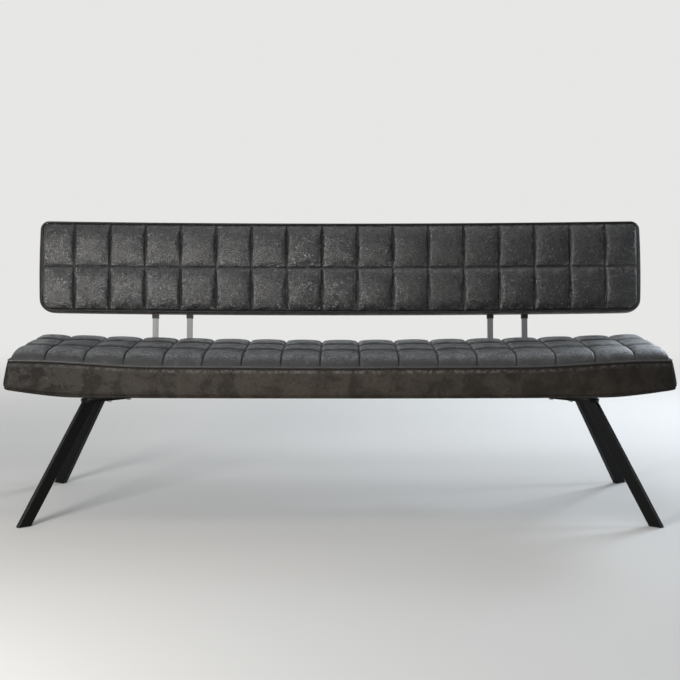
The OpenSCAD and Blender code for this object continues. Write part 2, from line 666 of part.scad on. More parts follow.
module leg_plate(s, t) color(black) placed() at_leg_top(s, t)
    bolted_slab(plate_out, plate_bottom, plate_top);
module leg_packers() color(black) placed() for (s = left_right, t = front_rear) at_leg_top(s, t)
    bolted_slab(packer_out, plate_top, seat_underside);
module leg_front_left() leg(-1, -1);
module leg_front_right() leg(1, -1);
module leg_rear_left() leg(-1, 1);
module leg_rear_right() leg(1, 1);
module leg_plate_front_left() leg_plate(-1, -1);
module leg_plate_front_right() leg_plate(1, -1);
module leg_plate_rear_left() leg_plate(-1, 1);
module leg_plate_rear_right() leg_plate(1, 1);
module foot_front_left() foot(-1, -1);
module foot_front_right() foot(1, -1);
module foot_rear_left() foot(-1, 1);
module foot_rear_right() foot(1, 1);

seat_front_rail();
seat_rear_rail();
seat_end_rails();
seat_cross_rails();
seat_corner_blocks();
seat_mount_boards();
seat_deck();
seat_foam();
seat_quilt();
seat_band();
seat_piping();
seat_dust_cover();
hem_staples();
back_bottom_rail();
back_top_rail();
back_end_stiles();
back_post_blocks();
back_front_board();
back_rear_board();
back_foam();
back_rear_pad();
back_quilt();
back_band();
back_front_piping();
back_rear_piping();
back_rear_cover();
post_left_outer();
post_left_inner();
post_right_inner();
post_right_outer();
post_collars();
post_screws();
back_bracket_left();
back_bracket_right();
bracket_bolts();
bracket_tee_nuts();
leg_front_left();
leg_front_right();
leg_rear_left();
leg_rear_right();
leg_plate_front_left();
leg_plate_front_right();
leg_plate_rear_left();
leg_plate_rear_right();
leg_packers();
foot_front_left();
foot_front_right();
foot_rear_left();
foot_rear_right();
leg_bolts();
leg_tee_nuts();
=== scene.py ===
# %% [markdown]
# A long upholstered dining bench: a quilted leather seat, a quilted leather backrest on polished square
# posts, and four splayed black legs. The engineering model gives every hard part its true size and place.
# This lesson dresses it: each cover is modelled again as soft leather, and everything gets its finish.

import json
import math

import bpy
import numpy as np
from mathutils import Matrix, Vector


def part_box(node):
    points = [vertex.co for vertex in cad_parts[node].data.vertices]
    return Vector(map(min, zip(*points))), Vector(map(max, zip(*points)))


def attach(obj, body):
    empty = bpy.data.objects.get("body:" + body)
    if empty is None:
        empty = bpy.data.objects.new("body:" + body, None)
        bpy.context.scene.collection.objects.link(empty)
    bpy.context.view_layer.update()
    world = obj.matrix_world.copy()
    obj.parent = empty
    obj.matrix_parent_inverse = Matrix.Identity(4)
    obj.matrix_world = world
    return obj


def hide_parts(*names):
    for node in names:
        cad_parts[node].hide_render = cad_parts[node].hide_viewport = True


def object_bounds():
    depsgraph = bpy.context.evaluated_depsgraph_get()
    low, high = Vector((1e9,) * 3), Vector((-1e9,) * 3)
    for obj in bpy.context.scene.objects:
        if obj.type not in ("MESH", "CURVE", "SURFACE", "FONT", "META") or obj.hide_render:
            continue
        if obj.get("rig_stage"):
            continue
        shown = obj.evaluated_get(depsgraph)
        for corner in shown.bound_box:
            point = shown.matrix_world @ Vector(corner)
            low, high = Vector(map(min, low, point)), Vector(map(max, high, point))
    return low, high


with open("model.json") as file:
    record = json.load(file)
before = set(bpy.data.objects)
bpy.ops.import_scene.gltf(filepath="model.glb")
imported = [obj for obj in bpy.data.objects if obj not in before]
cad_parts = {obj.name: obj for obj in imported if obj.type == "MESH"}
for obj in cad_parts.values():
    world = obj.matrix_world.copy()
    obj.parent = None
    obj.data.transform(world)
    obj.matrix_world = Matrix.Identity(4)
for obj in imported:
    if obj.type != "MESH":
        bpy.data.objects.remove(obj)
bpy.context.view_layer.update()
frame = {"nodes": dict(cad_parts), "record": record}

# %% [markdown]
# All lengths are in metres. The seat is drawn about its own middle, and the whole bench is centred on the
# floor, so the seat's middle lies a little in front of the origin. The seam round the seat dips in the
# middle of the bench and climbs to its ends, and the underside lifts over the last 200 mm of each end. The
# same few rules shape the seat panel, the side band, the welt and the dust cover, so they are written once.
#
# HX and HY are half lengths along the bench and across it, and R is a corner's radius seen from above. The
# soft cover stands a little past the engineering one at its ends. Its top seam lies SEAM_IN inside the
# outline, where PANEL_GAP leaves room for the welt. PITCH is the width of a quilted column.

# %% The seat's lines
band_low, band_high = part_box("seat_band")
END_FULLNESS = 0.006
SEAT_Y = (band_low.y + band_high.y) / 2
SEAT_HX, SEAT_HY = band_high.x + END_FULLNESS, (band_high.y - band_low.y) / 2
SEAT_R = 0.022
SEAT_UNDER = 0.382
SEAT_BAND_H = 0.089
SEAM_RISE = 0.022
UNDER_RISE, UNDER_RISE_LENGTH = 0.032, 0.2
EDGE_RISE, EDGE_END_RISE = 0.007, 0.018
SEAM_IN = 0.013
PANEL_GAP = 0.0033
PITCH = 0.1176


def smooth(t):
    """An eased step from 0 to 1."""
    t = np.clip(t, 0, 1)
    return t * t * (3 - 2 * t)


def rise(x):
    """How far the seat's lines have risen at a place along the bench, as a share of their rise at its ends. A
    quarter comes evenly, and the rest in a smooth climb near the end."""
    along = np.minimum(np.abs(x) / (SEAT_HX - SEAM_IN), 1)
    return 0.25 * along + 0.75 * smooth((along - 0.55) / 0.4)


def seam_z(x):
    """Height of the seat's top seam at a place along the bench."""
    return SEAT_UNDER + SEAT_BAND_H + SEAM_RISE * rise(x)


def under_z(x):
    """Height of the seat's underside at a place along the bench."""
    along = np.maximum(np.abs(x) - SEAT_HX + UNDER_RISE_LENGTH, 0) / UNDER_RISE_LENGTH
    return SEAT_UNDER + UNDER_RISE * along ** 1.6


def edge_z(x):
    """Height of the band's lower edge, which is drawn up a little more evenly than the underside."""
    along = np.abs(x) / SEAT_HX
    near_end = np.maximum(along - 0.75, 0) / 0.25
    return SEAT_UNDER + EDGE_RISE * along ** 2 + EDGE_END_RISE * near_end ** 1.5


print("seat middle at y", round(SEAT_Y, 4), "half length", round(SEAT_HX, 4), "half depth", round(SEAT_HY, 4))

# %% [markdown]
# The backrest is drawn lying on its back, because that is how an upholsterer works on it: x runs along it, y
# up its face and z out of the face, from the middle of its front seams. One matrix then stands it up at its
# lean of 11.2 degrees, with the middle of its lower front seam BACK_BEHIND the seat's middle. Its long seams
# bow upwards by 8 mm from the middle to the ends. BACK_T is its thickness, its front and rear seams lie
# BACK_IN inside its outline, and its ends belly out by BACK_BELLY, a share of its half length.

# %% The backrest's lines
BACK_HX, BACK_HY = 0.996, 0.1525
BACK_R = 0.034
UPPER_R, LOWER_R = 0.027, 0.042
BACK_T = 0.085
BACK_IN = 0.005
BACK_BELLY = 0.008
BACK_BOW = 0.008
BACK_BEHIND, BACK_FOOT_Z = 0.259, 0.583
LEAN = math.radians(11.2)
STAND_UP = (Matrix.Translation((0, SEAT_Y + BACK_BEHIND, BACK_FOOT_Z))
            @ Matrix.Rotation(math.pi / 2 - LEAN, 4, "X")
            @ Matrix.Translation((0, BACK_HY - BACK_IN, 0)))


def bow(x):
    """Rise of the backrest's seams at a place along the bench."""
    return BACK_BOW * (x / BACK_HX) ** 2


def back_r(y):
    """Radius of the backrest's corners, which are rounder at the bottom."""
    return np.where(y < 0, LOWER_R, UPPER_R)


# %% [markdown]
# Operators act on whatever is selected, so every step starts from nothing selected. These helpers pick one
# object, pick its vertices or edges by their place, move its vertices by a rule, and apply its modifiers.

# %% Helpers for modelling
def only(obj):
    """Select this object alone, in object mode."""
    if bpy.context.object and bpy.context.object.mode != "OBJECT":
        bpy.ops.object.mode_set(mode="OBJECT")
    bpy.ops.object.select_all(action="DESELECT")
    obj.select_set(True)
    bpy.context.view_layer.objects.active = obj


def points(obj):
    """The places of an object's vertices, one row each."""
    co = np.empty(len(obj.data.vertices) * 3)
    obj.data.vertices.foreach_get("co", co)
    return co.reshape(-1, 3)


def set_points(obj, co):
    """Move an object's vertices to these places."""
    obj.data.vertices.foreach_set("co", np.asarray(co, float).ravel())
    obj.data.update()


def pick(obj, kind, test):
    """Open an object for editing with only the vertices, or edges, selected whose places pass a test."""
    only(obj)
    bpy.ops.object.mode_set(mode="EDIT")
    bpy.ops.mesh.select_mode(type=kind)
    bpy.ops.mesh.select_all(action="DESELECT")
    bpy.ops.object.mode_set(mode="OBJECT")
    co = points(obj)
    if kind == "VERT":
        obj.data.vertices.foreach_set("select", test(co))
    else:
        ends = np.array([edge.vertices for edge in obj.data.edges])
        obj.data.edges.foreach_set("select", test(co[ends[:, 0]], co[ends[:, 1]]))
    bpy.ops.object.mode_set(mode="EDIT")


def leave():
    """Back to object mode."""
    bpy.ops.object.mode_set(mode="OBJECT")


def face_outwards(obj):
    """Turn all faces of a closed piece outwards."""
    pick(obj, "VERT", lambda co: np.ones(len(co), bool))
    bpy.ops.mesh.normals_make_consistent(inside=False)
    leave()


def apply_all(obj):
    """Apply an object's modifiers, in their order."""
    only(obj)
    for modifier in list(obj.modifiers):
        bpy.ops.object.modifier_apply(modifier=modifier.name)


def soften(obj, levels=1):
    """Subdivision, applied."""
    sub = obj.modifiers.new("Subdivision", "SUBSURF")
    sub.levels = sub.render_levels = levels
    apply_all(obj)


def stand_up(obj):
    """Stand a piece of the backrest up in its place on the bench."""
    obj.data.transform(STAND_UP)
    obj.data.update()


def finish_piece(obj, material, slot, *nodes):
    """Give a piece its material and its body, and hide the engineering parts that it stands for."""
    only(obj)
    obj.data.materials.clear()
    obj.data.materials.append(material)
    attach(obj, "root")
    if nodes:
        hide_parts(*nodes)
    print(obj.name, len(obj.data.polygons), "faces")
    return obj


def uneven(co, scale, seed=0.0):
    """Smooth, repeatable unevenness between about -1 and 1, from a few crossed waves."""
    x, y, z = (co * scale).T
    total = np.zeros(len(co))
    for k, (a, b, c) in enumerate(((1.0, 0.7, 0.4), (-0.6, 1.1, 0.8), (0.5, -0.9, 1.2), (1.7, 0.3, -0.8))):
        first, second = a * x + b * y + c * z + 2.1 * k + seed, c * x - a * y + b * z + 1.3 * k - seed
        total += np.sin(first) * np.cos(second)
    return total / 2


def store(obj, name, values):
    """Keep a number for each vertex on the mesh, where its material can read it."""
    layer = obj.data.attributes.get(name) or obj.data.attributes.new(name, "FLOAT", "POINT")
    layer.data.foreach_set("value", np.asarray(values, np.float32))


# %% [markdown]
# The covers are an aged, lightly glazed leather. Up close it has a fine pebbled grain with hairline creases.
# From a step away it is mottled, and dark stain lies in cloudy patches. Along the seams it is darker, partly
# stain where wiping never reached and partly painted shade in the seam valleys. The ridges beside the seams
# are paler, partly rubbed wear and partly a painted highlight on their crests. All the leathers share one
# node group, and differ in their colours and in how much of each effect they show.

# %% Helpers for materials
def new_material(name):
    """A new material, with its node tree and its shader."""
    material = bpy.data.materials.new(name)
    material.use_nodes = True
    return material, material.node_tree, material.node_tree.nodes["Principled BSDF"]


def fill(tree, node, inputs):
    """Fill a node's inputs with values or links."""
    for key, value in inputs.items():
        if isinstance(value, bpy.types.NodeSocket):
            tree.links.new(value, node.inputs[key])
        else:
            node.inputs[key].default_value = value


def add(tree, kind, inputs=None, **settings):
    """Add a node, set its own settings, and fill its inputs."""
    node = tree.nodes.new(kind)
    for key, value in settings.items():
        setattr(node, key, value)
    fill(tree, node, inputs or {})
    return node


def calc(tree, operation, a, b=0.0, c=0.0):
    """One calculation with up to three values or sockets."""
    return add(tree, "ShaderNodeMath", {0: a, 1: b, 2: c}, operation=operation).outputs[0]


def mix(tree, factor, a, b):
    """Colour a, turning into colour b as the factor goes from 0 to 1."""
    return add(tree, "ShaderNodeMix", {0: factor, 6: a, 7: b}, data_type="RGBA").outputs[2]


def ramp(tree, value, low, high, start=0.0, end=1.0):
    """An eased ramp: start below low, end above high."""
    return add(tree, "ShaderNodeMapRange", {0: value, 1: low, 2: high, 3: start, 4: end},
               interpolation_type="SMOOTHSTEP").outputs[0]


def noise(tree, vector, scale, detail=4.0, rough=0.5, distortion=0.0):
    return add(tree, "ShaderNodeTexNoise", {"Vector": vector, "Scale": scale, "Detail": detail,
               "Roughness": rough, "Distortion": distortion}).outputs[0]


def cells(tree, vector, scale, feature="F1"):
    return add(tree, "ShaderNodeTexVoronoi", {"Vector": vector, "Scale": scale},
               feature=feature).outputs["Distance"]


def new_group(name, inputs, outputs):
    """A shader node group with named sockets. Inputs give (name, type, value)."""
    tree = bpy.data.node_groups.new(name, "ShaderNodeTree")
    for label, kind, value in inputs:
        socket = tree.interface.new_socket(label, in_out="INPUT", socket_type=kind)
        if value is not None:
            socket.default_value = value
    for label, kind in outputs:
        tree.interface.new_socket(label, in_out="OUTPUT", socket_type=kind)
    return tree, tree.nodes.new("NodeGroupInput").outputs, tree.nodes.new("NodeGroupOutput").inputs


# %% Aged leather, as a node group
NUMBER, COLOUR = "NodeSocketFloat", "NodeSocketColor"
leather, given, result = new_group("aged_leather_with_painted_light", [
    ("Vector", "NodeSocketVector", None), ("Light", COLOUR, (0.09, 0.09, 0.09, 1)),
    ("Dark", COLOUR, (0.02, 0.02, 0.02, 1)), ("Worn", COLOUR, (0.15, 0.15, 0.15, 1)),
    ("Seam", NUMBER, 1.0), ("Stain", NUMBER, 0.5), ("Mottle", NUMBER, 0.5), ("Wear", NUMBER, 0.3),
    ("Gloss", NUMBER, 0.45)], [("Color", COLOUR), ("Roughness", NUMBER), ("Height", NUMBER)])
place = given["Vector"]
clouds = noise(leather, place, 15, 8, 0.62, 0.5)
flecks = noise(leather, place, 80, 6, 0.72, 0.3)
dust = noise(leather, place, 330, 3, 0.6)
patches = calc(leather, "MULTIPLY_ADD", clouds, 0.6, calc(leather, "MULTIPLY", flecks, 0.4))

# Dark stain in clouds, and a broken dark margin along every seam: partly stain, partly painted shade in the
# seam valleys
edge = calc(leather, "MULTIPLY_ADD", given["Stain"], -0.22, 0.66)
stain = ramp(leather, patches, calc(leather, "SUBTRACT", edge, 0.05), calc(leather, "ADD", edge, 0.05))
reach = calc(leather, "MULTIPLY_ADD", patches, 0.11, -0.040)
seam_stain_and_shade = ramp(leather, given["Seam"], 0.0012, calc(leather, "MAXIMUM", reach, 0.0040), 1.0, 0.0)
stain_and_seam_shade = calc(leather, "MAXIMUM", calc(leather, "MULTIPLY", stain, 0.75), seam_stain_and_shade)

# Paler ridges a few millimetres beside the seams: partly rubbed wear, partly a painted highlight on their
# crests
ridge = calc(leather, "MULTIPLY", ramp(leather, given["Seam"], 0.003, 0.007),
             ramp(leather, given["Seam"], 0.009, 0.018, 1.0, 0.0))
rubbed_and_highlight = calc(leather, "MULTIPLY", ridge, ramp(leather, flecks, 0.40, 0.62))
rubbed_and_highlight = calc(leather, "MULTIPLY", rubbed_and_highlight, given["Wear"])

# The stain and painted seam shade, then the paler ridges with their painted highlight and wear, over the
# light colour, then made uneven by flecks and dust
tone = mix(leather, rubbed_and_highlight, mix(leather, stain_and_seam_shade, given["Light"], given["Dark"]), given["Worn"])
spots = calc(leather, "MULTIPLY_ADD", calc(leather, "SUBTRACT", flecks, 0.5), 3.2,
             calc(leather, "MULTIPLY", calc(leather, "SUBTRACT", dust, 0.5), 1.6))
shade = calc(leather, "MAXIMUM", calc(leather, "MULTIPLY_ADD", spots, given["Mottle"], 1.0), 0.25)
leather.links.new(add(leather, "ShaderNodeVectorMath", {0: tone, 3: shade}, operation="SCALE").outputs[0],
                  result["Color"])

# Relief: pebbles, hairline creases and a soft rumple
crease = ramp(leather, cells(leather, place, 110, "DISTANCE_TO_EDGE"), 0.0, 0.10)
height = calc(leather, "MULTIPLY", cells(leather, place, 620), 0.5)
height = calc(leather, "MULTIPLY_ADD", crease, 0.4, height)
height = calc(leather, "MULTIPLY_ADD", noise(leather, place, 150, 4, 0.6), 1.6, height)
leather.links.new(height, result["Height"])

# Roughness: duller on the stain and the painted seam shade, uneven with the flecks, and never below a least
# value
LEAST_ROUGHNESS = 0.09
polish = calc(leather, "MULTIPLY_ADD", stain_and_seam_shade, 0.14, given["Gloss"])
polish = calc(leather, "MULTIPLY_ADD", calc(leather, "SUBTRACT", flecks, 0.5), 0.9, polish)
leather.links.new(calc(leather, "MAXIMUM", polish, LEAST_ROUGHNESS), result["Roughness"])

# %% [markdown]
# The thread of a quilted seam lies at the bottom of its valley. Each panel's mesh carries its distance to
# the nearest seam along the bench and across it, so the stitches can be drawn exactly on those lines.

# %% Stitches, as a node group
stitches, given, result = new_group("stitches", [
    ("Across", NUMBER, 1.0), ("Along", NUMBER, 0.0), ("Pitch", NUMBER, 0.0045)], [("Thread", NUMBER)])
on_line = ramp(stitches, given["Across"], 0.0004, 0.0009, 1.0, 0.0)
step = calc(stitches, "FRACT", calc(stitches, "DIVIDE", given["Along"], given["Pitch"]))
sewn = calc(stitches, "GREATER_THAN", calc(stitches, "ABSOLUTE", calc(stitches, "SUBTRACT", step, 0.5)), 0.1)
stitches.links.new(calc(stitches, "MULTIPLY", on_line, sewn), result["Thread"])


# %% [markdown]
# The covers' leathers are made from the groups above. The seat's is the palest. The seat's band has painted
# shade that darkens it towards the bench's ends. The backrest's is almost black under a thin glaze, which
# gives it its glints.

# %% Leather materials
THREAD_COLOUR = (0.02, 0.02, 0.02, 1)
THREAD_HEIGHT = 2.0
COAT_ROUGHNESS = 0.10


def leather_material(name, quilted=False, bump=0.5, depth=0.0008, stretch=(1, 1, 1), shine=0.5, ends=0.0,
                     coat=0.0, **looks):
    """A leather. Bump and depth set its relief, stretch squeezes its pattern, shine is its reflection and
    coat its glaze, and ends is a painted shade: the share of its brightness that is lost a metre from the
    bench's middle. The looks are values for the leather group's inputs."""
    material, tree, shader = new_material(name)
    where = add(tree, "ShaderNodeTexCoord").outputs["Object"]
    stretched = add(tree, "ShaderNodeMapping", {"Vector": where, "Scale": stretch}).outputs[0]
    seam = add(tree, "ShaderNodeAttribute", attribute_name="seam").outputs["Fac"]
    skin = add(tree, "ShaderNodeGroup", node_tree=leather)
    fill(tree, skin, {"Vector": stretched, "Seam": seam, **looks})
    colour, height = skin.outputs["Color"], skin.outputs["Height"]
    axes = add(tree, "ShaderNodeSeparateXYZ", {0: where}).outputs
    # Painted shade: the colour darkens towards the bench's ends
    painted_end_shade = calc(tree, "MULTIPLY_ADD", calc(tree, "MULTIPLY", axes["X"], axes["X"]), -ends, 1.0)
    colour = add(tree, "ShaderNodeVectorMath", {0: colour, 3: painted_end_shade}, operation="SCALE").outputs[0]
    if quilted:
        threads = []
        up = calc(tree, "ADD", axes["Y"], axes["Z"])
        for name_across, along in (("seam_x", up), ("seam_y", axes["X"])):
            across = add(tree, "ShaderNodeAttribute", attribute_name=name_across).outputs["Fac"]
            sewn = add(tree, "ShaderNodeGroup", node_tree=stitches)
            fill(tree, sewn, {"Across": across, "Along": along})
            threads.append(sewn.outputs["Thread"])
        thread = calc(tree, "MAXIMUM", *threads)
        colour = mix(tree, thread, colour, THREAD_COLOUR)
        height = calc(tree, "MULTIPLY_ADD", thread, THREAD_HEIGHT, height)
    relief = add(tree, "ShaderNodeBump", {"Strength": bump, "Distance": depth, "Height": height})
    fill(tree, shader, {"Base Color": colour, "Roughness": skin.outputs["Roughness"],
                        "Normal": relief.outputs["Normal"], "Specular IOR Level": shine,
                        "Coat Weight": coat, "Coat Roughness": COAT_ROUGHNESS,
                        "Coat Normal": relief.outputs["Normal"]})
    return material


def grey(level, warmth=0.0):
    """A near-grey colour: warmth above 0 leans to brown, below 0 to blue."""
    return (level * (1 + warmth), level, level * (1 - warmth), 1)


seat_leather = leather_material("seat_leather", quilted=True, bump=0.7, stretch=(1.7, 1.7, 1.7),
                                Light=grey(0.078, -0.04), Dark=grey(0.024), Worn=grey(0.18, -0.04),
                                Stain=0.68, Mottle=0.85, Wear=0.8, Gloss=0.46)
welt_leather = leather_material("seat_welt_leather",
                                Light=grey(0.048), Dark=grey(0.025, 0.03), Worn=grey(0.12),
                                Stain=0.5, Mottle=0.4, Wear=0.0, Gloss=0.42)
# The band's ends value paints shade towards the bench's ends
band_leather = leather_material("band_leather", shine=0.2, ends=0.62,
                                Light=grey(0.033, 0.22), Dark=grey(0.012, 0.26), Worn=grey(0.09, 0.02),
                                Stain=0.66, Mottle=0.75, Wear=0.9, Gloss=0.60)
back_leather = leather_material("back_leather", quilted=True, bump=0.9, depth=0.0010, coat=0.5,
                                Light=grey(0.014), Dark=grey(0.003), Worn=grey(0.10, -0.02),
                                Stain=0.56, Mottle=0.4, Wear=0.4, Gloss=0.22)
back_band_leather = leather_material("back_band_leather", shine=0.15,
                                     Light=grey(0.060, 0.28), Dark=grey(0.022, 0.2), Worn=grey(0.04, 0.05),
                                     Stain=0.5, Mottle=0.4, Wear=0.0, Gloss=0.55)
rear_leather = leather_material("rear_leather", Light=grey(0.045, 0.02), Dark=grey(0.020), Worn=grey(0.08),
                                Stain=0.5, Mottle=0.35, Wear=0.3, Gloss=0.42)
piping_leather = leather_material("piping_leather", Light=grey(0.008), Dark=grey(0.004), Worn=grey(0.02),
                                  Stain=0.5, Mottle=0.3, Wear=0.0, Gloss=0.45)

# %% [markdown]
# A quilted panel starts as a flat grid with an equal number of faces in each square. The faces are then
# gathered towards the seams, where the leather turns most, with vertices exactly on the thread. Each vertex
# is placed by rule: the seams follow the crown of the seat or the bow of the backrest, and every square
# swells steeply beside its seams and lies almost flat in its middle.

# %% Seams and squares
STEPS = 20
EVEN, GATHERED = 0.2, 0.8


def column_seams(half):
    """Seams between the quilted columns, with the two ends."""
    count = max(round(half / PITCH - 0.5), 1)
    return np.array([-half] + [(k + 0.5) * PITCH for k in range(-count, count)] + [half])


def on_lines(index, lines):
    """Places of a grid's lines across the squares, gathered towards the seams."""
    square = np.minimum(index // STEPS, len(lines) - 2).astype(int)
    t = index / STEPS - square
    t = EVEN * t + GATHERED * (0.5 - 0.5 * np.cos(math.pi * t))
    return lines[square] + (lines[square + 1] - lines[square]) * t


def round_corners(x, y, hx, hy, r):
    """Moves the points of a rectangle so that its corners become round."""
    u, v = np.maximum(np.abs(x) - hx + r, 0), np.maximum(np.abs(y) - hy + r, 0)
    dx = u - u * np.sqrt(1 - v * v / (2 * r * r))
    dy = v - v * np.sqrt(1 - u * u / (2 * r * r))
    return x - np.sign(x) * dx, y - np.sign(y) * dy


def quilt_grid(name, columns, rows):
    """A flat panel with its vertices on the seams, and for each vertex its distances to them."""
    nx, ny = (len(columns) - 1) * STEPS, (len(rows) - 1) * STEPS
    bpy.ops.mesh.primitive_grid_add(x_subdivisions=nx, y_subdivisions=ny, size=2)
    panel = bpy.context.object
    panel.name = panel.data.name = name
    co = points(panel)
    x = on_lines(np.rint((co[:, 0] + 1) / 2 * nx), columns)
    y = on_lines(np.rint((co[:, 1] + 1) / 2 * ny), rows)
    near_x = np.abs(x[:, None] - columns[None, :]).min(axis=1)
    near_y = np.abs(y[:, None] - rows[None, :]).min(axis=1)
    for label, values in (("seam_x", near_x), ("seam_y", near_y), ("seam", np.minimum(near_x, near_y))):
        store(panel, label, values)
    return panel, x, y, near_x, near_y


def profile(near, width, dome, power):
    """Height of a pillow beside its seam, as a share of its full height. It rises steeply within a width, and
    the rest, a share given as its dome, rises gently all the way to the middle."""
    steep = 1 - (1 - np.minimum(near / width, 1)) ** 2.4
    gentle = np.sin(np.minimum(near / (PITCH / 2), 1) * math.pi / 2) ** power
    return (1 - dome) * steep + dome * gentle


def close_under(panel, base):
    """Turns an open panel into a closed pad: its edge goes down to a flat base."""
    pick(panel, "VERT", lambda co: np.zeros(len(co), bool))
    bpy.ops.mesh.select_mode(type="EDGE")
    bpy.ops.mesh.select_non_manifold()
    bpy.ops.mesh.extrude_region_move()
    leave()
    co = points(panel)
    chosen = np.array([vertex.select for vertex in panel.data.vertices])
    co[chosen, 2] = base
    set_points(panel, co)
    bpy.ops.object.mode_set(mode="EDIT")
    bpy.ops.mesh.edge_face_add()
    leave()
    face_outwards(panel)
    only(panel)
    bpy.ops.object.shade_smooth_by_angle(angle=math.radians(60))


# %% [markdown]
# Leather sewn over wadding isn't a perfect pillow: it is cut a little larger than the square it covers, so it
# gathers in short puckers beside the thread. Cloth simulation finds these by itself. The vertices whose
# stored seam value is 0 are pinned, the leather between them is given some slack, and a gentle pressure
# stands in for the wadding. It would also blow the squares up, so no vertex may move further than a cap.


# %% Let the leather settle between its seams
def settle(panel, pressure=0.4, slack=0.008, cap=0.0015, frames=20):
    """Let a panel settle as cloth, moving each vertex by no more than the cap."""
    start = points(panel)
    near = np.empty(len(start), np.float32)
    panel.data.attributes["seam"].data.foreach_get("value", near)
    sewn = panel.vertex_groups.new(name="sewn")
    sewn.add([int(k) for k in np.flatnonzero(near < 1e-5)], 1.0, "REPLACE")
    cloth = panel.modifiers.new("Cloth", "CLOTH")
    settings = cloth.settings
    settings.quality = 5
    settings.mass = 0.3
    settings.vertex_group_mass = "sewn"
    settings.tension_stiffness = settings.compression_stiffness = 20
    settings.shear_stiffness = 10
    settings.bending_stiffness = 0.5
    settings.use_pressure = True
    settings.uniform_pressure_force = pressure
    settings.shrink_min = -slack
    settings.effector_weights.gravity = 0
    cloth.point_cache.frame_start, cloth.point_cache.frame_end = 1, frames
    for number in range(1, frames + 1):
        bpy.context.scene.frame_set(number)
    apply_all(panel)
    bpy.context.scene.frame_set(1)
    moved = points(panel) - start
    size = np.linalg.norm(moved, axis=1, keepdims=True)
    moved *= np.minimum(1, cap / np.maximum(size, 1e-9))
    set_points(panel, start + moved)
    panel.vertex_groups.remove(panel.vertex_groups["sewn"])
    print(panel.name, "settled by up to", round(float(size.max()) * 1000, 1), "mm")


# %% [markdown]
# The seat's panel has three rows of squares. Its seams lie on a crown that falls towards the rear, climbs
# to the ends, and rolls over to meet the band's seam all round, more tightly at the ends than at the front.
#
# The stored seam value is a distance, so dividing it makes the dark margin beside a seam wider. Beside the
# row seams the margin is partly stain and partly painted shade: it is widest just behind each row seam, where
# the next row's front flank would lie in shade, and is broken up along its length. It is softer at the front
# seam, where the pale ridge, partly a painted highlight, lies further back on the front row. There the value
# never reaches 0, so the settling pins that seam only where the column seams meet it.

# %% Seat panel
SEAT_PANEL_HX, SEAT_PANEL_HY = SEAT_HX - SEAM_IN - PANEL_GAP, SEAT_HY - SEAM_IN - PANEL_GAP
QUILT_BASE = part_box("seat_quilt")[0].z
SEAT_ROWS, SEAT_PUFF = 3, 0.011
CROWN_H, CROWN_FALL, CROWN_END_RISE = 0.0235, 0.024, 0.020
STAIN_AND_SHADE_BEHIND, STAIN_AND_SHADE_BEFORE, STAIN_AND_SHADE_FRONT = 4.5, 3.0, 8
FRONT_START = 0.0022
SEAT_PANEL_R = 0.008


def seat_crown(x, y):
    """Height of the seat panel's seams."""
    along = np.abs(x / SEAT_PANEL_HX)
    top = SEAT_UNDER + SEAT_BAND_H + CROWN_H - CROWN_FALL * y + CROWN_END_RISE * along ** 1.7
    across, along = np.abs(y / SEAT_PANEL_HY) ** np.where(y < 0, 9, 16), along ** 120
    return seam_z(x) + (top - seam_z(x)) * (1 - across) * (1 - along)


row_seams = np.linspace(-SEAT_PANEL_HY, SEAT_PANEL_HY, SEAT_ROWS + 1)
seat_panel, x, y, near_x, near_y = quilt_grid("seat_panel", column_seams(SEAT_PANEL_HX), row_seams)
along_bench = profile(near_x, width=0.009, dome=0.5, power=0.5)
across_bench = profile(near_y, width=0.008, dome=0.55, power=0.8)
height = seat_crown(x, y) + SEAT_PUFF * along_bench * across_bench
nearest = np.abs(y[:, None] - row_seams[None, :]).argmin(axis=1)
# Painted shade: the seam margins of the rows are widened, most just behind each row seam
broken = 1 + 0.45 * uneven(np.column_stack([x, y, 0 * x]), 60)
stain_and_shade_width = broken * np.where(y > row_seams[nearest], STAIN_AND_SHADE_BEHIND, STAIN_AND_SHADE_BEFORE)
across = np.where(nearest == 0, near_y / STAIN_AND_SHADE_FRONT + FRONT_START, near_y / stain_and_shade_width)
store(seat_panel, "seam", np.minimum(near_x * 1.5, across))
x, y = round_corners(x, y, SEAT_PANEL_HX, SEAT_PANEL_HY, SEAT_PANEL_R)
set_points(seat_panel, np.column_stack([x, y, height]))
settle(seat_panel)
soften(seat_panel)
close_under(seat_panel, QUILT_BASE)
set_points(seat_panel, points(seat_panel) + [0, SEAT_Y, 0])
finish_piece(seat_panel, seat_leather, "seat_leather", "seat_quilt")

# %% [markdown]
# The backrest's panel is made in the same way, lying flat, with two rows of squares. The whole panel is also
# slightly domed from its lower seam to its upper one.

# %% Backrest panel
BACK_PANEL_HX, BACK_PANEL_HY = BACK_HX - BACK_IN - PANEL_GAP, BACK_HY - BACK_IN - PANEL_GAP
BACK_ROWS, BACK_PUFF, BACK_DOME, PANEL_BACK = 2, 0.012, 0.006, -0.010
PANEL_R_LESS = 0.009
row_seams = np.linspace(-BACK_PANEL_HY, BACK_PANEL_HY, BACK_ROWS + 1)
back_panel, x, y, near_x, near_y = quilt_grid("back_panel", column_seams(BACK_PANEL_HX), row_seams)
along_bench = profile(near_x, width=0.007, dome=0.6, power=0.35)
up_face = profile(near_y, width=0.007, dome=0.75, power=0.9)
height = BACK_PUFF * along_bench * up_face + BACK_DOME * (1 - np.abs(y / BACK_PANEL_HY) ** 3)
store(back_panel, "seam", np.minimum(near_x * 1.3, near_y))
x, y = round_corners(x, y, BACK_PANEL_HX, BACK_PANEL_HY, back_r(y) - PANEL_R_LESS)
set_points(back_panel, np.column_stack([x, y + bow(x), height]))
settle(back_panel)
soften(back_panel)
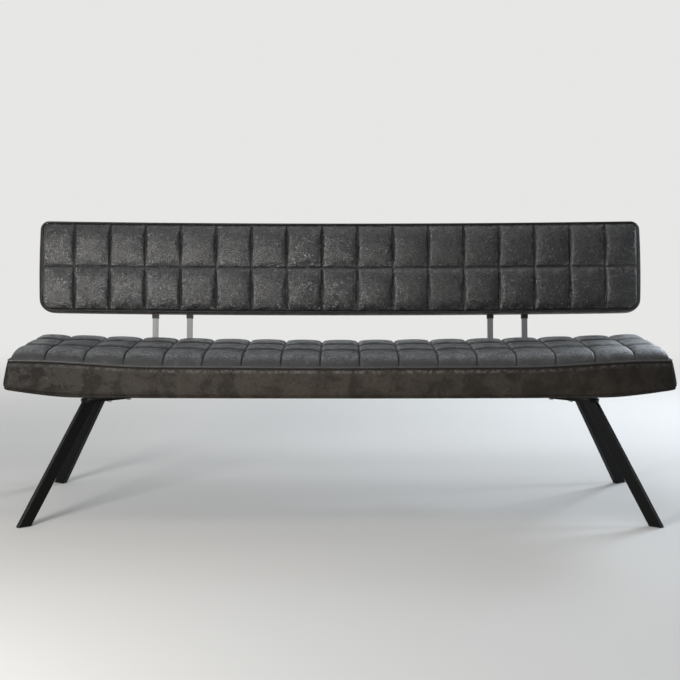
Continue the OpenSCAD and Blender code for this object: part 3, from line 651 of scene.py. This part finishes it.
close_under(back_panel, PANEL_BACK)
stand_up(back_panel)
finish_piece(back_panel, back_leather, "back_leather", "back_quilt")

# %% [markdown]
# The band round the seat is one strip of leather, sewn to the panel at the top and folded under the frame at
# the bottom. It could be swept along a curve, but its height changes along the bench. So a rounded
# rectangle is drawn as a loop of edges and extruded straight up once for each line of the band's section.
# Then every loop is moved in and out to its place in the section.


# %% Loops round a rounded rectangle
def rounded_loop(name, hx, hy, r, long_cuts, short_cuts, corner=8):
    """A loop of edges round a rectangle with round corners, in the plane z = 0."""
    bpy.ops.mesh.primitive_plane_add(size=2)
    loop = bpy.context.object
    loop.name = loop.data.name = name
    set_points(loop, points(loop) * [hx, hy, 1])
    pick(loop, "VERT", lambda co: np.ones(len(co), bool))
    bpy.ops.mesh.bevel(offset=r, segments=corner, affect="VERTICES", offset_type="OFFSET")
    bpy.ops.mesh.select_all(action="SELECT")
    bpy.ops.mesh.delete(type="ONLY_FACE")
    leave()
    for axis, half, cuts in ((0, hx, long_cuts), (1, hy, short_cuts)):
        pick(loop, "EDGE", lambda a, b: np.abs(a - b)[:, axis] > half)
        bpy.ops.mesh.subdivide(number_cuts=cuts)
        leave()
    co = points(loop)
    centre = np.clip(co[:, :2], [r - hx, r - hy], [hx - r, hy - r])
    arm = co[:, :2] - centre
    co[:, :2] = centre + arm * r / np.maximum(np.linalg.norm(arm, axis=1, keepdims=True), 1e-9)
    set_points(loop, co)
    return loop


def sweep_section(loop, count):
    """Extrudes a loop upwards into count loops, a metre apart, and joins the last to the first."""
    pick(loop, "VERT", lambda co: np.ones(len(co), bool))
    for _ in range(count - 1):
        bpy.ops.mesh.extrude_region_move(TRANSFORM_OT_translate={"value": (0, 0, 1)})
    leave()
    pick(loop, "VERT", lambda co: (co[:, 2] < 0.5) | (co[:, 2] > count - 1.5))
    bpy.ops.mesh.bridge_edge_loops()
    leave()


def step_in(co, hx, hy, r, inset, least=0.002):
    """Moves points on a rounded rectangle inwards, each by its own inset."""
    corner = np.column_stack([hx - r + 0 * inset, hy - r + 0 * inset])
    centre = np.clip(co[:, :2], -corner, corner)
    arm = co[:, :2] - centre
    arm /= np.maximum(np.linalg.norm(arm, axis=1, keepdims=True), 1e-9)
    left = np.maximum(r - inset, least)[:, None]
    limit = np.column_stack([hx - inset, hy - inset]) - left
    return np.clip(centre, -limit, limit) + arm * left


# %% [markdown]
# Each line of the band's section has a distance inside the outline, a height above the band's lower edge,
# and the share of the way from there up to the seam. The section starts at the end of the hem, under the
# frame, rounds the fold, passes a fine crease, bulges out a little, draws in to the seam and comes back down
# inside.

# %% Seat band
HEM_IN, HEM_R, WIDEST = 0.045, 0.007, 0.30
RETURN_IN = 0.016
section = [(HEM_IN, 0.0, 0.0), (0.030, 0.0, 0.0)]
section += [(HEM_R * (1 - math.sin(a)), HEM_R * (1 - math.cos(a)), 0.0) for a in np.radians([0, 25, 50, 70])]
section += [(0.0006, 0.0064, 0.0), (0.0026, 0.0072, 0.0), (0.0028, 0.0078, 0.0), (0.0002, 0.0086, 0.0)]
section += [(-0.002, 0.0, 0.15), (-0.001, 0.0, WIDEST)]
section += [(SEAM_IN * t ** 1.2, 0.0, WIDEST + (1 - WIDEST) * t) for t in (0.2, 0.4, 0.6, 0.8, 0.94)]
section += [(SEAM_IN + 0.0005, 0.0, 1.0), (SEAM_IN + 0.003, 0.0, 1.0), (RETURN_IN, 0.0, 0.97),
            (RETURN_IN, 0.002, 0.0), (HEM_IN, 0.002, 0.0)]
seat_side = rounded_loop("seat_side", SEAT_HX, SEAT_HY, SEAT_R, long_cuts=120, short_cuts=28)
sweep_section(seat_side, len(section))
co = points(seat_side)
inset, above, share = np.array(section)[np.rint(co[:, 2]).astype(int)].T
co[:, :2] = step_in(co, SEAT_HX, SEAT_HY, SEAT_R, inset)

# The fold follows the drawn-up lower edge, and the hem lies on the underside within 14 mm of it
flat = np.clip(inset / 0.014, 0, 1) * (share < 0.01)
low = edge_z(co[:, 0]) * (1 - flat) + under_z(co[:, 0]) * flat
high = seam_z(co[:, 0])
co[:, 2] = low + above + share * (high - low)

# The outer face is loose between its seam and its fold, and wavers by about a millimetre at most
WAVER = 0.0008
loose = np.clip(share * 4, 0, 1) * np.clip((1 - share) * 4, 0, 1) * (inset < RETURN_IN - 0.0005)
co[:, 1] += np.sign(co[:, 1]) * WAVER * loose * uneven(co, 38)
set_points(seat_side, co)

# The band's seam value is its distance below the top seam: just under the welt it is darkened, partly stain
# and partly painted shade, and a little lower it is paler, partly rubbed wear and partly a painted highlight.
# The hem is given a seam value of a metre and more, so that none of this is drawn on it
store(seat_side, "seam", np.abs(high - co[:, 2]) + 1.0 * (inset > RETURN_IN + 0.0005))
face_outwards(seat_side)
soften(seat_side)
bpy.ops.object.shade_smooth()
set_points(seat_side, points(seat_side) + [0, SEAT_Y, 0])
finish_piece(seat_side, band_leather, "band_leather", "seat_band")

# %% [markdown]
# The backrest's band is swept in the same way. Each line of its section has a distance inside the outline and
# a depth behind the front seam. It goes from the rear seam round the outside to the front one, and back
# inside.

# %% Backrest band
section = [(BACK_IN, BACK_T), (BACK_IN - 0.001, BACK_T - 0.002), (0.0020, BACK_T - 0.006),
           (0.0005, BACK_T - 0.014), (-0.001, BACK_T / 2), (0.0, 0.016), (0.0010, 0.008), (0.0028, 0.003),
           (BACK_IN, 0.0)]
section += [(0.0075, 0.0), (0.008, 0.004), (0.008, BACK_T - 0.004), (0.0075, BACK_T)]
back_side = rounded_loop("back_side", BACK_HX, BACK_HY, BACK_R, long_cuts=120, short_cuts=20)
sweep_section(back_side, len(section))
co = points(back_side)
inset, depth = np.array(section)[np.rint(co[:, 2]).astype(int)].T
co[:, :2] = step_in(co, BACK_HX, BACK_HY, back_r(co[:, 1]), inset)
co[:, 0] *= 1 + BACK_BELLY * np.clip(1 - inset / BACK_IN, 0, 1) * (1 - 0.5 * (co[:, 1] / BACK_HY) ** 2)
co[:, 1] += bow(co[:, 0])
co[:, 2] = -depth
set_points(back_side, co)
# The seam value is the distance to the nearer welt, so the band is darkened beside both welts: partly stain,
# partly painted shade on its underside
store(back_side, "seam", np.minimum(depth, BACK_T - depth))
face_outwards(back_side)
soften(back_side)
bpy.ops.object.shade_smooth()
stand_up(back_side)
finish_piece(back_side, back_band_leather, "back_leather", "back_band")

# %% [markdown]
# A welt is a thin cord in a folded strip of leather, sewn into the seam. Its path is again a rounded loop.
# Turned into a curve, a round bevel gives it its thickness all the way round without twisting.


# %% Welts
WELT_R = 0.0026
SEAT_WELT_IN, SEAT_WELT_LIFT = SEAM_IN + 0.0025, 0.0033
BACK_WELT_IN = BACK_IN + 0.0008


def welt(name, hx, hy, r, inset, radius, lift):
    """A round welt on a rounded rectangle, its height given by a rule."""
    loop = rounded_loop(name, hx, hy, SEAT_R, long_cuts=120, short_cuts=24)
    co = points(loop)
    co[:, :2] = step_in(co, hx, hy, r(co[:, 1]), np.full(len(co), inset))
    set_points(loop, lift(co))
    only(loop)
    bpy.ops.object.convert(target="CURVE")
    curve = bpy.context.object.data
    curve.bevel_depth = radius
    curve.bevel_resolution = 3
    bpy.ops.object.convert(target="MESH")
    bpy.ops.object.shade_smooth()
    piece = bpy.context.object
    store(piece, "seam", np.ones(len(piece.data.vertices)))
    return piece


def on_seat_seam(co):
    """Points of a loop, put in place along the seat's top seam."""
    return np.column_stack([co[:, 0], co[:, 1] + SEAT_Y, seam_z(co[:, 0]) + SEAT_WELT_LIFT])


def on_back_seam(depth):
    """A rule that puts a loop's points along the backrest's seams, at a depth behind its front."""
    return lambda co: np.column_stack([co[:, 0], co[:, 1] + bow(co[:, 0]), np.full(len(co), -depth)])


seat_welt = welt("seat_welt", SEAT_HX, SEAT_HY, lambda y: SEAT_R, SEAT_WELT_IN, WELT_R, on_seat_seam)
finish_piece(seat_welt, welt_leather, "seat_leather", "seat_piping")
back_welts = (("back_front_welt", "back_front_piping", -0.0020),
              ("back_rear_welt", "back_rear_piping", BACK_T + 0.0025))
for name, node, depth in back_welts:
    piece = welt(name, BACK_HX, BACK_HY, back_r, BACK_WELT_IN, WELT_R, on_back_seam(depth))
    stand_up(piece)
    finish_piece(piece, piping_leather, "piping_leather", node)

# %% [markdown]
# The rear of the backrest is one plain piece of the same leather over thin wadding, slightly domed.

# %% Rear cover
REAR_DOME, REAR_UNEVEN = 0.005, 0.0012
bpy.ops.mesh.primitive_grid_add(x_subdivisions=160, y_subdivisions=28, size=2)
rear_panel = bpy.context.object
rear_panel.name = rear_panel.data.name = "rear_panel"
co = points(rear_panel)
x, y = co[:, 0] * BACK_PANEL_HX, co[:, 1] * BACK_PANEL_HY
dome = (1 - co[:, 0] ** 12) * (1 - co[:, 1] ** 4)
near = np.minimum(BACK_PANEL_HX - np.abs(x), BACK_PANEL_HY - np.abs(y))
x, y = round_corners(x, y, BACK_PANEL_HX, BACK_PANEL_HY, back_r(y) - PANEL_R_LESS)
flat = np.column_stack([x, y, 0 * x])
height = (REAR_DOME + REAR_UNEVEN * uneven(flat, 14, 2.0)) * dome
set_points(rear_panel, np.column_stack([x, y + bow(x), height]))
store(rear_panel, "seam", near)
close_under(rear_panel, PANEL_BACK)
rear_panel.data.transform(STAND_UP @ Matrix.Translation((0, 0, -BACK_T)) @ Matrix.Rotation(math.pi, 4, "Y"))
finish_piece(rear_panel, rear_leather, "back_leather", "back_rear_cover")

# %% [markdown]
# Under the seat, a black non-woven cloth keeps dust out. It is stapled flat to the frame, and sags a
# hair between the rails.

# %% Dust cover
non_woven, tree, shader = new_material("non_woven_cloth")
where = add(tree, "ShaderNodeTexCoord").outputs["Object"]
fibres = noise(tree, where, 900, 3, 0.7)
relief = add(tree, "ShaderNodeBump", {"Strength": 0.6, "Distance": 0.0005, "Height": cells(tree, where, 700)})
fill(tree, shader, {"Base Color": mix(tree, fibres, (0.012, 0.012, 0.012, 1), (0.045, 0.045, 0.046, 1)),
                    "Roughness": 0.9, "Normal": relief.outputs["Normal"]})

CLOTH_IN, CLOTH_T, CLOTH_LIFT, SAG = 0.0453, 0.0006, 0.0014, 0.0012
CLOTH_HX, CLOTH_HY, RAIL_PITCH = SEAT_HX - CLOTH_IN, SEAT_HY - CLOTH_IN, 0.235
bpy.ops.mesh.primitive_grid_add(x_subdivisions=200, y_subdivisions=30, size=2)
dust_cloth = bpy.context.object
dust_cloth.name = dust_cloth.data.name = "dust_cloth"
co = points(dust_cloth) * [CLOTH_HX, CLOTH_HY, 1]
sag = SAG * np.abs(np.sin(co[:, 0] * math.pi / RAIL_PITCH)) * (1 - (co[:, 1] / CLOTH_HY) ** 4)
co[:, 2] = under_z(co[:, 0]) + CLOTH_LIFT - sag * (np.abs(co[:, 0]) < 2 * RAIL_PITCH)
set_points(dust_cloth, co + [0, SEAT_Y, 0])
thick = dust_cloth.modifiers.new("Solidify", "SOLIDIFY")
thick.thickness = CLOTH_T
apply_all(dust_cloth)
bpy.ops.object.shade_smooth_by_angle(angle=math.radians(50))
finish_piece(dust_cloth, non_woven, "dust_cover", "seat_dust_cover")

# %% [markdown]
# Inside lie three slabs of foam. They never show in a finished bench, but a cut-away view needs them.

# %% Foam
foam_material, tree, shader = new_material("open_cell_foam")
where = add(tree, "ShaderNodeTexCoord").outputs["Object"]
pores = cells(tree, where, 500)
relief = add(tree, "ShaderNodeBump", {"Strength": 0.7, "Distance": 0.001, "Height": pores})
foam_colour = mix(tree, ramp(tree, pores, 0.1, 0.6), (0.42, 0.33, 0.17, 1), (0.80, 0.72, 0.52, 1))
fill(tree, shader, {"Base Color": foam_colour, "Roughness": 0.95, "Normal": relief.outputs["Normal"]})


def foam_slab(name, node):
    """A foam slab with softened edges in the space of an engineering part: a merged copy of it."""
    source = frame["nodes"][node]
    slab = source.copy()
    slab.data = source.data.copy()
    slab.name = slab.data.name = name
    bpy.context.scene.collection.objects.link(slab)
    for key in [k for k in slab.keys() if k.startswith("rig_")]:
        del slab[key]
    slab.parent = None
    pick(slab, "VERT", lambda co: np.ones(len(co), bool))
    bpy.ops.mesh.remove_doubles(threshold=0.00001)
    bpy.ops.mesh.dissolve_limited(angle_limit=math.radians(2))
    leave()
    round_edges = slab.modifiers.new("Bevel", "BEVEL")
    round_edges.width = 0.003
    round_edges.segments = 2
    round_edges.limit_method = "ANGLE"
    apply_all(slab)
    finish_piece(slab, foam_material, "foam", node)


foam_slab("seat_foam_slab", "seat_foam")
foam_slab("back_foam_slab", "back_foam")
foam_slab("rear_wadding", "back_rear_pad")

# %% [markdown]
# The hard parts keep their engineering shapes and only need their finishes. Each is a base colour with one
# noise that varies it, breaks up its gloss and lifts the surface a little. What sets them apart is the
# noise's scale and stretch: long and thin for wood and brushed metal, very fine for powder coat.


# %% Metals, plastics and timber
def grained(name, colours, scale, rough, metallic=0.0, stretch=(1, 1, 1), bump=0.2, distance=0.0003,
            gloss=0.5, swing=0.08):
    """A finish with one noise, which moves the colour between two, the roughness by a swing either way, and
    the surface up and down."""
    material, tree, shader = new_material(name)
    where = add(tree, "ShaderNodeTexCoord").outputs["Object"]
    stretched = add(tree, "ShaderNodeMapping", {"Vector": where, "Scale": stretch}).outputs[0]
    grain = noise(tree, stretched, scale, 4, 0.6)
    relief = add(tree, "ShaderNodeBump", {"Strength": bump, "Distance": distance, "Height": grain})
    colour = mix(tree, ramp(tree, grain, 0.3, 0.7), (*colours[0], 1), (*colours[1], 1))
    roughness = calc(tree, "MULTIPLY_ADD", grain, swing * 2, rough - swing)
    fill(tree, shader, {"Base Color": colour, "Roughness": roughness, "Normal": relief.outputs["Normal"],
                        "Metallic": metallic, "Specular IOR Level": gloss})
    return material


powder_coat = grained("black_powder_coat", ((0.003, 0.003, 0.003), (0.0055, 0.005, 0.005)), 900, 0.28,
                      bump=0.25, gloss=0.12)
polished_steel = grained("polished_steel", ((0.60, 0.60, 0.60), (0.68, 0.68, 0.67)), 60, 0.09, metallic=1.0,
                         stretch=(1, 1, 0.05), bump=0.05, swing=0.03)
zinc_plate = grained("zinc_plate", ((0.50, 0.51, 0.52), (0.62, 0.62, 0.60)), 260, 0.35, metallic=1.0)
nylon = grained("black_nylon", ((0.008, 0.008, 0.008), (0.013, 0.013, 0.013)), 1200, 0.5, gloss=0.35)
softwood = grained("softwood", ((0.42, 0.26, 0.12), (0.66, 0.46, 0.25)), 60, 0.65, stretch=(0.06, 1, 1),
                   bump=0.4)
ply = grained("plywood", ((0.50, 0.36, 0.20), (0.70, 0.54, 0.34)), 45, 0.6, stretch=(0.15, 1, 3), bump=0.3)
finishes = {"timber": softwood, "plywood": ply, "polished_steel": polished_steel, "black_steel": powder_coat,
            "black_plastic": nylon, "zinc": zinc_plate, "seat_leather": seat_leather,
            "band_leather": band_leather, "back_leather": back_leather, "piping_leather": piping_leather,
            "foam": foam_material, "dust_cover": non_woven}
for row in frame["record"]["subparts"]:
    obj = frame["nodes"][row["node"]]
    obj.data.materials.clear()
    obj.data.materials.append(finishes[row["material_slot"]])
print(len(frame["nodes"]), "engineering parts have their finishes")

# %% [markdown]
# A plain pale floor fades into an even backdrop, so nothing behind the bench competes with it. The backdrop
# is only colour: the lens sees it, and nothing is lit by it. A soft sky, brighter on the left, lights the
# bench instead and mirrors in it.

# %% Floor and backdrop
BACKDROP = (0.80, 0.80, 0.79, 1)
SKY_LEFT, SKY_RIGHT = (0.56, 0.555, 0.54, 1), (0.11, 0.12, 0.135, 1)
FLOOR_SIZE = 60
FADE_START, FADE_END = 1.3, 4.0
bpy.ops.mesh.primitive_plane_add(size=1)
floor = bpy.context.object
floor.name = floor.data.name = "floor"
set_points(floor, points(floor) * [FLOOR_SIZE, FLOOR_SIZE, 1])
floor_material, tree, shader = new_material("pale_floor")
fill(tree, shader, {"Base Color": (0.62, 0.61, 0.595, 1), "Roughness": 0.8, "Specular IOR Level": 0.2})
where = add(tree, "ShaderNodeTexCoord").outputs["Object"]
away = add(tree, "ShaderNodeVectorMath", {0: where}, operation="LENGTH").outputs["Value"]
far = ramp(tree, away, FADE_START, FADE_END)
seen = add(tree, "ShaderNodeLightPath").outputs["Is Camera Ray"]
glow = add(tree, "ShaderNodeEmission", {"Color": BACKDROP})
faded = calc(tree, "MULTIPLY", far, seen)
blend = add(tree, "ShaderNodeMixShader", {0: faded, 1: shader.outputs[0], 2: glow.outputs[0]})
tree.links.new(blend.outputs[0], tree.nodes["Material Output"].inputs["Surface"])
floor.data.materials.append(floor_material)
floor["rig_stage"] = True

world = bpy.data.worlds.new("studio")
bpy.context.scene.world = world
world.use_nodes = True
tree = world.node_tree
tree.nodes.clear()
path = add(tree, "ShaderNodeLightPath").outputs
seen = calc(tree, "MAXIMUM", path["Is Camera Ray"], path["Is Transmission Ray"])
outward = add(tree, "ShaderNodeTexCoord").outputs["Generated"]
direction = add(tree, "ShaderNodeSeparateXYZ", {0: outward}).outputs
sky_colour = mix(tree, ramp(tree, direction["X"], -0.25, 0.22), SKY_LEFT, SKY_RIGHT)
sky = add(tree, "ShaderNodeBackground", {"Color": sky_colour})
pale = add(tree, "ShaderNodeBackground", {"Color": BACKDROP})
blend = add(tree, "ShaderNodeMixShader", {0: seen, 1: sky.outputs[0], 2: pale.outputs[0]})
add(tree, "ShaderNodeOutputWorld", {0: blend.outputs[0]})


# %% [markdown]
# Five lamps stand round the bench: a low and nearly white one at the front left, a cooler one high behind the
# right end, a wide weak one overhead, a cool one at the right, and a long weak one behind. The glazed
# leather and the posts mirror them, so their places matter as much as their power.

# %% Lamps
def area_lamp(name, location, target, size, power, colour):
    """A rectangular lamp that points at its target, with its power in watts. The camera doesn't see it."""
    data = bpy.data.lights.new(name, "AREA")
    data.shape = "RECTANGLE"
    data.size, data.size_y = size
    data.energy = power
    data.color = colour
    lamp = bpy.data.objects.new(name, data)
    bpy.context.scene.collection.objects.link(lamp)
    lamp.location = location
    lamp.rotation_euler = (Vector(target) - Vector(location)).to_track_quat("-Z", "Y").to_euler()
    lamp.visible_camera = False


area_lamp("front_left", (-1.95, -2.8, 1.05), (-0.6, 0, 0.65), (0.8, 0.3), 84, (1.0, 0.98, 0.95))
area_lamp("behind_right", (2.3, 2.0, 1.9), (0.4, 0, 0.45), (1.2, 0.9), 68, (0.80, 0.90, 1.0))
area_lamp("overhead", (0.2, -0.7, 3.2), (0.1, 0, 0.4), (2.4, 1.2), 20, (0.97, 0.985, 1.0))
area_lamp("right_side", (4.4, 0.45, 1.5), (0.3, 0, 0.5), (0.8, 0.8), 46, (0.84, 0.93, 1.0))
area_lamp("window_behind", (0.3, 2.4, 0.9), (0.1, 0, 0.5), (4.0, 0.6), 10, (0.93, 0.97, 1.0))

# %% [markdown]
# The camera stands in front of the bench's middle and looks slightly down. Its focal length, in pixels of a
# square picture, its height, its tilt and its distance come from fitting it and the bench together to the
# photograph. The distance is measured from a line 0.240 m in front of the seat's middle.

# %% Camera
SENSOR = 36
PICTURE_PIXELS, FOCAL_PIXELS = 680, 1406.56
CAMERA_AWAY, CAMERA_H, CAMERA_TILT = 4.1418, 1.1179, 7.694
ZERO_LINE = 0.240
camera_data = bpy.data.cameras.new("camera")
camera_data.sensor_width = SENSOR
camera_data.lens = FOCAL_PIXELS / PICTURE_PIXELS * SENSOR
camera = bpy.data.objects.new("camera", camera_data)
bpy.context.scene.collection.objects.link(camera)
camera.location = (0, -CAMERA_AWAY - ZERO_LINE + SEAT_Y, CAMERA_H)
camera.rotation_euler = (math.radians(90 - CAMERA_TILT), 0, 0)
bpy.context.scene.camera = camera
bpy.context.scene.view_settings.view_transform = "Standard"

# %% [markdown]
# Last, the size of the dressed model is printed.

# %% Sizes, and the end
low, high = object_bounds()
print("dressed model from", tuple(low), "to", tuple(high))
